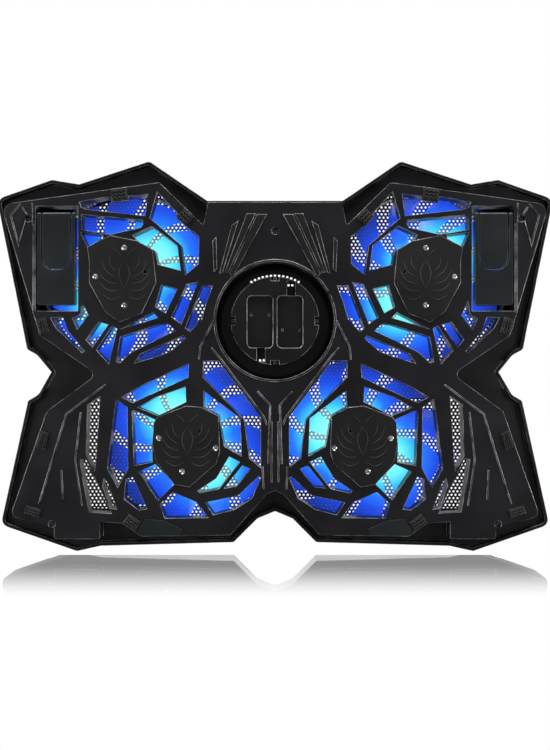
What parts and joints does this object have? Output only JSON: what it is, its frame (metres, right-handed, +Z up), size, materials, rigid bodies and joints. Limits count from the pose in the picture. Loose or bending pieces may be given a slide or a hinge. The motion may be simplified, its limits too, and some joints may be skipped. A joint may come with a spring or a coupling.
{
  "type": "laptop cooling pad",
  "caption": "Butterfly-shaped laptop cooling pad with lit fans, perforated steel deck, two-height folding rear legs and flip-up laptop stops.",
  "frame": {"origin": "middle of the footprint, in the plane that the rubber pads stand on", "axes": "+Z up out of the deck, +Y towards the rear edge with the dials, +X to the user's right"},
  "size_m": [0.4102, 0.2886, 0.0278],
  "materials": {
    "deck_plastic": "fine satin moulding, black",
    "cover_plastic": "fine spark-eroded grain, near-black",
    "leg_plastic": "smooth satin, dark grey",
    "badge_plastic": "polished black",
    "dial_plastic": "knurled, black",
    "motor_plastic": "matt black",
    "blade_plastic": "translucent, lit blue from the motor side",
    "mesh_steel": "perforated sheet, black powder coat",
    "screw_steel": "bright zinc",
    "black_screw": "blackened steel",
    "rubber": "treaded, matt black",
    "board": "solder mask, green",
    "magnet": "dark ferrite",
    "winding": "lacquered copper and laminations",
    "bronze": "sintered bronze",
    "wire": "flat two-core lead",
    "led": "clear lens over a blue chip"
  },
  "bodies": {
    "root": {"top_frame": "deck_plastic", "bottom_cover": "cover_plastic", "mesh_panel_right": "mesh_steel", "mesh_panel_left": "mesh_steel", "centre_badge": "badge_plastic", "centre_disc": "cover_plastic", "rubber_pads": "rubber", "control_board": "board", "board_screws": "screw_steel", "case_screws": "black_screw", "fan_screws": "screw_steel", "usb_port_inner": "screw_steel", "usb_port_outer": "screw_steel", "usb_tongues": "motor_plastic", "dial_pots": "motor_plastic", "wire_harness": "wire", "led_chips": "led", "leg_pin_right": "screw_steel", "leg_pin_left": "screw_steel", "stop_pin_right": "screw_steel", "stop_pin_left": "screw_steel", "stator_rear_right": "winding", "bearing_rear_right": "bronze", "fan_base_rear_right": "motor_plastic", "led_ring_rear_right": "board", "stator_rear_left": "winding", "bearing_rear_left": "bronze", "fan_base_rear_left": "motor_plastic", "led_ring_rear_left": "board", "stator_front_right": "winding", "bearing_front_right": "bronze", "fan_base_front_right": "motor_plastic", "led_ring_front_right": "board", "stator_front_left": "winding", "bearing_front_left": "bronze", "fan_base_front_left": "motor_plastic", "led_ring_front_left": "board"},
    "leg_right": {"leg_right": "leg_plastic"},
    "leg_left": {"leg_left": "leg_plastic"},
    "low_leg_right": {"low_leg_right": "leg_plastic"},
    "low_leg_left": {"low_leg_left": "leg_plastic"},
    "stop_right": {"stop_right": "deck_plastic"},
    "stop_left": {"stop_left": "deck_plastic"},
    "speed_dial": {"speed_dial": "dial_plastic"},
    "light_dial": {"light_dial": "dial_plastic"},
    "fan_rear_right": {"rotor_rear_right": "blade_plastic", "shaft_rear_right": "screw_steel", "magnet_rear_right": "magnet"},
    "fan_rear_left": {"rotor_rear_left": "blade_plastic", "shaft_rear_left": "screw_steel", "magnet_rear_left": "magnet"},
    "fan_front_right": {"rotor_front_right": "blade_plastic", "shaft_front_right": "screw_steel", "magnet_front_right": "magnet"},
    "fan_front_left": {"rotor_front_left": "blade_plastic", "shaft_front_left": "screw_steel", "magnet_front_left": "magnet"}
  },
  "joints": [
    {"name": "fan_spin_rear_right", "type": "hinge", "parent": "root", "child": "fan_rear_right", "pos_m": [0.11, 0.058, 0.018], "axis": [0, 0, 1], "continuous": true},
    {"name": "fan_spin_rear_left", "type": "hinge", "parent": "root", "child": "fan_rear_left", "pos_m": [-0.11, 0.058, 0.018], "axis": [0, 0, 1], "continuous": true},
    {"name": "fan_spin_front_right", "type": "hinge", "parent": "root", "child": "fan_front_right", "pos_m": [0.064, -0.0635, 0.018], "axis": [0, 0, 1], "continuous": true},
    {"name": "fan_spin_front_left", "type": "hinge", "parent": "root", "child": "fan_front_left", "pos_m": [-0.064, -0.0635, 0.018], "axis": [0, 0, 1], "continuous": true},
    {"name": "leg_fold_right", "type": "hinge", "parent": "root", "child": "leg_right", "pos_m": [0.1604, 0.1032, 0.0056], "axis": [1, 0, 0], "range_deg": [0, 105]},
    {"name": "low_leg_fold_right", "type": "hinge", "parent": "root", "child": "low_leg_right", "pos_m": [0.1604, 0.1032, 0.0056], "axis": [1, 0, 0], "range_deg": [0, 105]},
    {"name": "leg_fold_left", "type": "hinge", "parent": "root", "child": "leg_left", "pos_m": [-0.1604, 0.1032, 0.0056], "axis": [1, 0, 0], "range_deg": [0, 105]},
    {"name": "low_leg_fold_left", "type": "hinge", "parent": "root", "child": "low_leg_left", "pos_m": [-0.1604, 0.1032, 0.0056], "axis": [1, 0, 0], "range_deg": [0, 105]},
    {"name": "stop_flip_right", "type": "hinge", "parent": "root", "child": "stop_right", "pos_m": [0.145, -0.1343, 0.0248], "axis": [1, 0, 0], "range_deg": [0, 90]},
    {"name": "stop_flip_left", "type": "hinge", "parent": "root", "child": "stop_left", "pos_m": [-0.145, -0.1343, 0.0248], "axis": [1, 0, 0], "range_deg": [0, 90]},
    {"name": "speed_dial_turn", "type": "hinge", "parent": "root", "child": "speed_dial", "pos_m": [0.021, 0.1109, 0.0194], "axis": [0, 0, 1], "range_deg": [0, 270]},
    {"name": "light_dial_turn", "type": "hinge", "parent": "root", "child": "light_dial", "pos_m": [-0.001, 0.1109, 0.0194], "axis": [0, 0, 1], "range_deg": [0, 270]}
  ]
}
